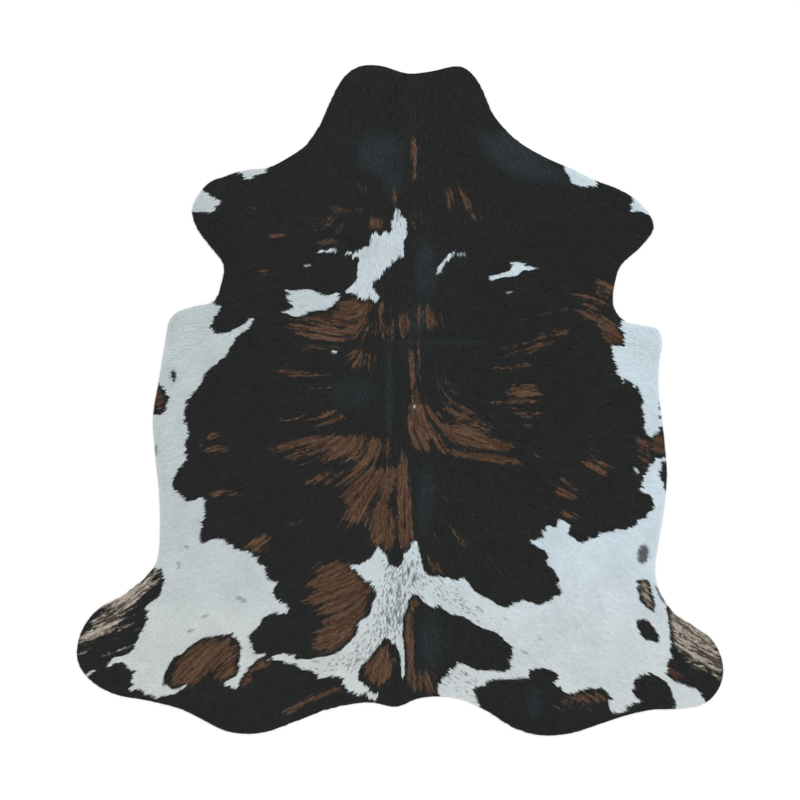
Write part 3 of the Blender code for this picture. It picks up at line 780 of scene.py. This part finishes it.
def lock_paths(field, across, along, length, rng):
    """Root, middle and tip of every lock, none reaching past the cut edge."""
    run = field.lie(across, along)
    spread = np.radians(rng.normal(0, 5, len(across)))
    cos, sin = np.cos(spread), np.sin(spread)
    near = (run[0] * cos - run[1] * sin, run[0] * sin + run[1] * cos)
    allowed = np.ones(len(across))
    for share in np.linspace(1.0, 0.15, 12):
        out = field.edge.at(across + share * length * near[0], along + share * length * near[1])
        allowed = np.where(out < -OVERHANG, share, allowed)
    allowed = np.where(allowed < 1, np.maximum(allowed - 0.04, 0.10), 1.0)
    length = length * allowed
    mid_x, mid_y = across + 0.5 * length * near[0], along + 0.5 * length * near[1]
    far = field.lie(mid_x, mid_y)
    far = (0.5 * (far[0] + near[0]), 0.5 * (far[1] + near[1]))
    tip_x, tip_y = mid_x + 0.5 * length * far[0], mid_y + 0.5 * length * far[1]
    return near, far, (mid_x, mid_y), (tip_x, tip_y)


def bake_cells(across, along):
    """A square cell for every lock, laid out as the locks lie on the hide."""
    count = len(across)
    side = int(math.ceil(math.sqrt(count)))
    order = np.argsort(along, kind="stable")
    row = np.empty(count, int)
    row[order] = np.arange(count) // side
    order = np.lexsort((across, row))
    column = np.empty(count, int)
    column[order] = np.arange(count) % side
    return column, row, side


def build_coat_layer(settings, bed, number, across, along):
    """One layer of the coat as a joined mesh of tapered locks."""
    field = chart()
    rng = np.random.default_rng(RANDOM_SEED + 10 + number)
    count = len(across)
    length = settings.length * (0.84 + 0.32 * rng.random(count))
    near, far, middle, tip = lock_paths(field, across, along, length, rng)
    width = settings.width * (0.75 + 0.5 * rng.random(count))
    lift = settings.lift * (0.4 + number + 0.6 * rng.random(count)) / COAT_LAYERS
    roll = np.tan(np.radians(rng.uniform(-settings.roll, settings.roll, count))) / 2
    edge = smoothstep(field.edge.at(*tip), -0.002, 0.012)
    lift = lift * (0.35 + 0.65 * edge)

    def corner(place, run, side, half, rise):
        x = place[0] + side * half * run[1]
        y = place[1] - side * half * run[0]
        ground = field.height(x, y, bed)
        return np.column_stack([x, y, ground + rise + side * half * 2 * roll])

    corners = np.stack([
        corner((across, along), near, -1, 0.35 * width, 0.02 * lift),
        corner((across, along), near, 1, 0.35 * width, 0.02 * lift),
        corner(middle, far, -1, 0.5 * width, lift),
        corner(middle, far, 1, 0.5 * width, lift),
        corner(tip, far, 0, 0.0 * width, 0.8 * lift),
    ], axis=1).reshape(-1, 3)
    corners[:, 2] = np.maximum(corners[:, 2], bed[0] * 0.5)
    pattern = np.array([(0, 1, 3), (0, 3, 2), (2, 3, 4)])
    starts = LOCK_CORNERS * np.arange(count)
    faces = (starts[:, None, None] + pattern[None]).reshape(-1, 3)
    piece = mesh_object("rug_coat_%d" % (number + 1), corners, faces)
    # colour comes from where most of the lock shows
    seen_x = across + settings.shown * (tip[0] - across)
    seen_y = along + settings.shown * (tip[1] - along)
    first, second = field.colours(seen_x, seen_y)
    add_colours(piece, np.repeat(first, LOCK_CORNERS, 0), np.repeat(second, LOCK_CORNERS, 0))
    strand = np.array([(0, 0), (1, 0), (0, 0.5), (1, 0.5), (0.5, 1)])
    add_uv(piece, "Strand", np.tile(strand[pattern.ravel()], (count, 1)))
    column, row, side = bake_cells(across, along)
    cell = np.array([(0.1, 0.08), (0.9, 0.08), (0.1, 0.52), (0.9, 0.52), (0.5, 0.94)])
    places = (np.stack([column, row], 1)[:, None, :] + cell[pattern.ravel()][None]) / side
    add_uv(piece, "OFBake", places.reshape(-1, 2))
    piece.data.materials.append(coat_material(settings))
    return piece


# ---------------------------------------------------------------------------
# Materials
# ---------------------------------------------------------------------------

class Graph:
    """Short ways to add and join nodes in one material."""

    def __init__(self, name):
        self.material = bpy.data.materials.new(name)
        self.material.use_nodes = True
        self.nodes = self.material.node_tree.nodes
        self.links = self.material.node_tree.links
        self.shader = self.nodes["Principled BSDF"]

    def add(self, kind, **settings):
        node = self.nodes.new(kind)
        for key, value in settings.items():
            setattr(node, key, value)
        return node

    def feed(self, socket, value):
        if isinstance(value, bpy.types.NodeSocket):
            self.links.new(value, socket)
        else:
            socket.default_value = value

    def math(self, operation, first, second=0.0, clamp=False):
        node = self.add("ShaderNodeMath", operation=operation, use_clamp=clamp)
        self.feed(node.inputs[0], first)
        self.feed(node.inputs[1], second)
        return node.outputs[0]

    def spread(self, value, low, high, to_low=0.0, to_high=1.0):
        node = self.add("ShaderNodeMapRange")
        for key, item in (("Value", value), ("From Min", low), ("From Max", high),
                          ("To Min", to_low), ("To Max", to_high)):
            self.feed(node.inputs[key], item)
        return node.outputs["Result"]

    def mix(self, share, first, second, blend="MIX"):
        node = self.add("ShaderNodeMix", data_type="RGBA", blend_type=blend)
        self.feed(node.inputs["Factor"], share)
        self.feed(node.inputs[6], first)
        self.feed(node.inputs[7], second)
        return node.outputs[2]

    def noise(self, vector, scale, detail=2.0):
        node = self.add("ShaderNodeTexNoise")
        self.feed(node.inputs["Vector"], vector)
        self.feed(node.inputs["Scale"], scale)
        self.feed(node.inputs["Detail"], detail)
        return node.outputs["Fac"]

    def values(self, name):
        """The four values that an attribute holds."""
        read = self.add("ShaderNodeAttribute", attribute_name=name)
        parts = self.add("ShaderNodeSeparateColor")
        self.links.new(read.outputs["Color"], parts.inputs[0])
        return (parts.outputs[0], parts.outputs[1], parts.outputs[2], read.outputs["Alpha"])

    def grey(self, value):
        """One value as a grey colour."""
        node = self.add("ShaderNodeCombineColor")
        for socket in node.inputs[:3]:
            self.links.new(value, socket)
        return node.outputs[0]

    def bump(self, height, strength, distance):
        node = self.add("ShaderNodeBump")
        node.inputs["Strength"].default_value = strength
        node.inputs["Distance"].default_value = distance
        self.links.new(height, node.inputs["Height"])
        self.links.new(node.outputs["Normal"], self.shader.inputs["Normal"])

    def place(self):
        return self.add("ShaderNodeTexCoord").outputs["Object"]


def solid(colour):
    return (colour[0], colour[1], colour[2], 1.0)


def hair_colour(graph, settings):
    """The coat's colour, from black through brown and fawn to white, with painted sheen on the black and
    painted light on the white.
    """
    white, brown, fawn, painted_sheen = graph.values("coat_first")
    streak, tint, rim, roan = graph.values("coat_second")
    place = graph.place()
    parts = graph.add("ShaderNodeSeparateXYZ")
    graph.links.new(place, parts.inputs[0])
    # painted sheen: black hair is mixed towards a cool grey painted highlight where the sheen amount is
    # high
    black = graph.mix(painted_sheen, solid(settings.black), solid(settings.painted_sheen))
    tan = graph.mix(streak, solid(settings.brown), solid(settings.brown_light))
    bare_rim = graph.math("SUBTRACT", 1.0, rim, clamp=True)
    dark = graph.mix(graph.math("MULTIPLY", brown, bare_rim), black, tan)
    pale = graph.mix(graph.spread(streak, 0.2, 0.9), solid(settings.fawn_dark),
                     solid(settings.fawn))
    dark = graph.mix(graph.math("MULTIPLY", fawn, bare_rim), dark, pale)
    # painted light: the white is painted darker on the left and lighter and cooler on the right, as
    # light falls from the right
    side = graph.spread(parts.outputs["X"], -0.55, 0.45)
    white_with_painted_light = graph.mix(side, solid(settings.white_left_painted_shade), solid(settings.white_right_painted_light))
    cream = graph.math("MULTIPLY", graph.spread(parts.outputs["Y"], -0.45, -0.85),
                       settings.cream)
    white_with_painted_light = graph.mix(cream, white_with_painted_light, solid(settings.white_low))
    grey_hair = graph.math("LESS_THAN", tint, roan)
    white_with_painted_light = graph.mix(graph.math("MULTIPLY", grey_hair, GREY_HAIR_STRENGTH), white_with_painted_light, solid(settings.grey))
    coat = graph.mix(white, dark, white_with_painted_light)
    # each lock a little lighter or darker than its neighbours
    swing = graph.spread(white, 0.0, 1.0, settings.swing_dark, settings.swing_white)
    shade = graph.math("SUBTRACT", tint, 0.5)
    shade = graph.math("MULTIPLY_ADD", shade, swing)
    shade.node.inputs[2].default_value = 1.0
    broad = graph.spread(graph.noise(place, 9.0, 3.0), 0.3, 0.7, 0.93, 1.05)
    shade = graph.math("MULTIPLY", shade, broad)
    return graph.mix(1.0, coat, graph.grey(shade), "MULTIPLY"), white, streak


def coat_material(settings):
    """Hair: fine strands along each lock, dull with a low sheen."""
    found = bpy.data.materials.get("coat_hair")
    if found:
        return found
    graph = Graph("coat_hair")
    colour, _, streak = hair_colour(graph, settings)
    strand = graph.add("ShaderNodeUVMap", uv_map="Strand").outputs["UV"]
    scale = graph.add("ShaderNodeVectorMath", operation="MULTIPLY")
    graph.links.new(strand, scale.inputs[0])
    scale.inputs[1].default_value = (9.0, 1.2, 1.0)
    moved = graph.add("ShaderNodeVectorMath", operation="ADD")
    graph.links.new(scale.outputs[0], moved.inputs[0])
    offset = graph.add("ShaderNodeCombineXYZ")
    graph.links.new(graph.math("MULTIPLY", streak, 70.0), offset.inputs[2])
    graph.links.new(offset.outputs[0], moved.inputs[1])
    hairs = graph.noise(moved.outputs[0], 1.0, 2.0)
    fine = graph.spread(hairs, 0.3, 0.7, 0.90, 1.08)
    colour = graph.mix(1.0, colour, graph.grey(fine), "MULTIPLY")
    graph.bump(hairs, 0.35, 0.0004)
    graph.feed(graph.shader.inputs["Base Color"], colour)
    graph.feed(graph.shader.inputs["Roughness"], graph.spread(hairs, 0.3, 0.7, 0.50, 0.66))
    graph.feed(graph.shader.inputs["Specular IOR Level"], settings.gloss)
    return graph.material


def bed_material():
    """The coat's roots, seen only between the locks: the same colours, darkened with painted shade."""
    settings = bpy.context.scene.rug_coat
    graph = Graph("coat_bed")
    colour, white, _ = hair_colour(graph, settings)
    # painted shade: the roots between the locks are darkened, more under dark hair than under white
    painted_root_shade = graph.mix(white, solid((0.55, 0.55, 0.55)), solid((0.82, 0.82, 0.82)))
    pores = graph.noise(graph.place(), 700.0, 2.0)
    graph.bump(pores, 0.4, 0.0006)
    graph.feed(graph.shader.inputs["Base Color"], graph.mix(1.0, colour, painted_root_shade, "MULTIPLY"))
    graph.feed(graph.shader.inputs["Roughness"], graph.spread(pores, 0.3, 0.7, 0.75, 0.9))
    graph.feed(graph.shader.inputs["Specular IOR Level"], 0.1)
    return graph.material


def suede_material():
    """The flesh side and the cut edge: pale sueded leather."""
    graph = Graph("suede")
    place = graph.place()
    cloud = graph.noise(place, 7.0, 4.0)
    nap = graph.noise(place, 420.0, 3.0)
    base = graph.mix(graph.spread(cloud, 0.3, 0.7), solid((0.46, 0.36, 0.26)),
                     solid((0.60, 0.50, 0.39)))
    colour = graph.mix(graph.spread(nap, 0.3, 0.7, 0.0, 0.25), base, solid((0.36, 0.28, 0.20)))
    graph.bump(nap, 0.35, 0.0005)
    graph.feed(graph.shader.inputs["Base Color"], colour)
    graph.feed(graph.shader.inputs["Roughness"], graph.spread(nap, 0.3, 0.7, 0.80, 0.95))
    graph.feed(graph.shader.inputs["Specular IOR Level"], 0.2)
    return graph.material


# ---------------------------------------------------------------------------
# Settings
# ---------------------------------------------------------------------------

def colour_property(name, description, value):
    return bpy.props.FloatVectorProperty(
        name=name, description=description, default=value, size=3, min=0.0, max=1.0,
        subtype="COLOR")


class RugHideSettings(bpy.types.PropertyGroup):
    leather: bpy.props.FloatProperty(
        name="Leather", description="Thickness of the leather at the cut edge",
        default=0.0025, min=0.001, max=0.006, unit="LENGTH", subtype="DISTANCE")
    bed: bpy.props.FloatProperty(
        name="Bed", description="Height of the coat's roots above the floor",
        default=0.0036, min=0.002, max=0.008, unit="LENGTH", subtype="DISTANCE")
    grid: bpy.props.FloatProperty(
        name="Grid", description="Spacing of the points of the coat side",
        default=0.010, min=0.006, max=0.05, unit="LENGTH", subtype="DISTANCE")


class RugCoatSettings(bpy.types.PropertyGroup):
    spacing: bpy.props.FloatProperty(
        name="Spacing", description="Distance between neighbouring locks of hair",
        default=0.0037, min=0.0034, max=0.02, unit="LENGTH", subtype="DISTANCE")
    length: bpy.props.FloatProperty(
        name="Length", description="Length of a lock of hair",
        default=0.024, min=0.008, max=0.05, unit="LENGTH", subtype="DISTANCE")
    width: bpy.props.FloatProperty(
        name="Width", description="Width of a lock at its middle",
        default=0.0042, min=0.001, max=0.01, unit="LENGTH", subtype="DISTANCE")
    lift: bpy.props.FloatProperty(
        name="Lift", description="Height of the highest locks above the coat's roots",
        default=0.0028, min=0.0005, max=0.01, unit="LENGTH", subtype="DISTANCE")
    roll: bpy.props.FloatProperty(
        name="Roll", description="Most that a lock turns about its own line, in degrees",
        default=16.0, min=0.0, max=45.0)
    shown: bpy.props.FloatProperty(
        name="Shown", description="Place along a lock where its colour is taken",
        default=0.5, min=0.0, max=1.0)
    gloss: bpy.props.FloatProperty(
        name="Gloss", description="Strength of the hair's sheen",
        default=0.12, min=0.0, max=1.0)
    cream: bpy.props.FloatProperty(
        name="Cream", description="How much the white warms towards the rump",
        default=0.6, min=0.0, max=1.0)
    swing_dark: bpy.props.FloatProperty(
        name="Dark swing", description="Spread of lightness among dark locks",
        default=0.55, min=0.0, max=1.0)
    swing_white: bpy.props.FloatProperty(
        name="White swing", description="Spread of lightness among white locks",
        default=0.10, min=0.0, max=1.0)
    black: colour_property("Black", "Colour of the black hair", (0.0125, 0.0138, 0.0130))
    # painted sheen: colour of the cool highlight painted onto the black hair
    painted_sheen: colour_property("Bloom", "Colour of the cool sheen on black hair",
                           (0.020, 0.028, 0.033))
    brown: colour_property("Brown", "Colour of the darker brown hair",
                           (0.050, 0.024, 0.013))
    brown_light: colour_property("Light brown", "Colour of the lighter brown hair",
                                 (0.115, 0.066, 0.040))
    fawn: colour_property("Fawn", "Colour of the pale hair on the legs",
                          (0.42, 0.37, 0.31))
    fawn_dark: colour_property("Dark fawn", "Colour of the darker hair on the legs",
                               (0.075, 0.058, 0.044))
    # painted light: these two whites carry painted shade on the left and painted light on the right
    white_left_painted_shade: colour_property("Left white", "Colour of the white hair on the left",
                                (0.50, 0.56, 0.575))
    white_right_painted_light: colour_property("Right white", "Colour of the white hair on the right",
                                 (0.60, 0.70, 0.76))
    white_low: colour_property("Low white", "Colour of the white hair at the rump",
                               (0.58, 0.60, 0.58))
    grey: colour_property("Grey", "Colour of the grey hairs in the white",
                          (0.10, 0.115, 0.12))


class RugStageSettings(bpy.types.PropertyGroup):
    seen_width: bpy.props.FloatProperty(
        name="Seen width", description="Width of floor that the camera takes in",
        default=2.6245, min=1.0, max=10.0, unit="LENGTH", subtype="DISTANCE")
    distance: bpy.props.FloatProperty(
        name="Distance", description="Height of the camera above the floor",
        default=6.0, min=2.0, max=20.0, unit="LENGTH", subtype="DISTANCE")
    fill: bpy.props.FloatProperty(
        name="Fill", description="Strength of the light from all round",
        default=0.85, min=0.0, max=5.0)
    key: bpy.props.FloatProperty(
        name="Key", description="Strength of the soft light from the upper right",
        default=1.1, min=0.0, max=10.0)


# ---------------------------------------------------------------------------
# Operators and panel
# ---------------------------------------------------------------------------

def settle(piece, node=None):
    """Tell the frame which body a piece belongs to, and hide the frame part that it stands for."""
    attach(piece, "root")
    if node:
        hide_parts(node)


class RUG_OT_hide(bpy.types.Operator):
    """Build the leather of the rug as one closed sheet"""
    bl_idname = "rug.hide"
    bl_label = "Build Hide"

    def execute(self, context):
        piece = build_hide_sheet(context.scene.rug_hide)
        settle(piece, "hide")
        return {"FINISHED"}


class RUG_OT_coat(bpy.types.Operator):
    """Build the rug's coat as layers of lying locks of hair"""
    bl_idname = "rug.coat"
    bl_label = "Build Coat"

    def execute(self, context):
        settings = context.scene.rug_coat
        hide = context.scene.rug_hide
        if bpy.data.objects.get("rug_hide") is None:
            raise RuntimeError("Build the hide before its coat")
        field = chart()
        across, along, layer = staggered(
            settings.spacing, 0.9, np.random.default_rng(RANDOM_SEED + 2))
        keep = field.edge.at(across, along) > 0.0003
        across, along, layer = across[keep], along[keep], layer[keep]
        for number in range(COAT_LAYERS):
            mine = layer == number
            piece = build_coat_layer(settings, (hide.leather, hide.bed), number,
                                     across[mine], along[mine])
            settle(piece)
        return {"FINISHED"}


class RUG_OT_stage(bpy.types.Operator):
    """Build the pale floor, the soft lights and the camera above the rug"""
    bl_idname = "rug.stage"
    bl_label = "Build Stage"

    def execute(self, context):
        settings = context.scene.rug_stage
        bpy.ops.mesh.primitive_plane_add(size=14.0, location=(0, 0, HIDE_LOW.z - 0.0002))
        floor = context.active_object
        floor.name = "floor"
        graph = Graph("floor")
        graph.feed(graph.shader.inputs["Base Color"], (0.93, 0.93, 0.93, 1.0))
        graph.feed(graph.shader.inputs["Roughness"], 0.9)
        graph.feed(graph.shader.inputs["Specular IOR Level"], 0.0)
        floor.data.materials.append(graph.material)
        world = bpy.data.worlds.new("studio")
        world.use_nodes = True
        world.node_tree.nodes["Background"].inputs["Color"].default_value = (1, 1, 1, 1)
        world.node_tree.nodes["Background"].inputs["Strength"].default_value = settings.fill
        context.scene.world = world
        bpy.ops.object.light_add(type="SUN", location=(2.5, 2.5, 4.0))
        key = context.active_object
        key.name = "key_light"
        key.data.energy = settings.key
        key.data.angle = math.radians(30)
        key.rotation_mode = "QUATERNION"
        key.rotation_quaternion = Vector((-1.0, -1.0, -1.6)).to_track_quat("-Z", "Y")
        bpy.ops.object.camera_add(location=(0, 0, settings.distance), rotation=(0, 0, 0))
        camera = context.active_object
        camera.name = "camera"
        camera.data.type = "PERSP"
        camera.data.sensor_width = 36.0
        camera.data.lens = camera.data.sensor_width * settings.distance / settings.seen_width
        camera.data.clip_end = 100.0
        context.scene.camera = camera
        context.scene.view_settings.view_transform = "Standard"
        clean_start()
        return {"FINISHED"}


class RUG_PT_panel(bpy.types.Panel):
    """Sizes and colours of the rug, and the buttons that build it"""
    bl_idname = "RUG_PT_panel"
    bl_label = "Cowhide Rug"
    bl_space_type = "VIEW_3D"
    bl_region_type = "UI"
    bl_category = "Rug"

    def draw(self, context):
        for label, name, operator in (("Hide", "rug_hide", "rug.hide"),
                                      ("Coat", "rug_coat", "rug.coat"),
                                      ("Stage", "rug_stage", "rug.stage")):
            box = self.layout.box()
            box.label(text=label)
            settings = getattr(context.scene, name)
            for key in settings.bl_rna.properties.keys():
                if key not in ("rna_type", "name"):
                    box.prop(settings, key)
            box.operator(operator)


SETTINGS = (("rug_hide", RugHideSettings), ("rug_coat", RugCoatSettings),
            ("rug_stage", RugStageSettings))
CLASSES = (RUG_OT_hide, RUG_OT_coat, RUG_OT_stage, RUG_PT_panel)


def register():
    for name, group in SETTINGS:
        bpy.utils.register_class(group)
        setattr(bpy.types.Scene, name, bpy.props.PointerProperty(type=group))
    for item in CLASSES:
        bpy.utils.register_class(item)


def unregister():
    for item in reversed(CLASSES):
        bpy.utils.unregister_class(item)
    for name, group in reversed(SETTINGS):
        delattr(bpy.types.Scene, name)
        bpy.utils.unregister_class(group)


def main():
    clean_start()
    register()
    bpy.ops.rug.hide()
    bpy.ops.rug.coat()
    bpy.ops.rug.stage()


if __name__ == "__main__":
    main()
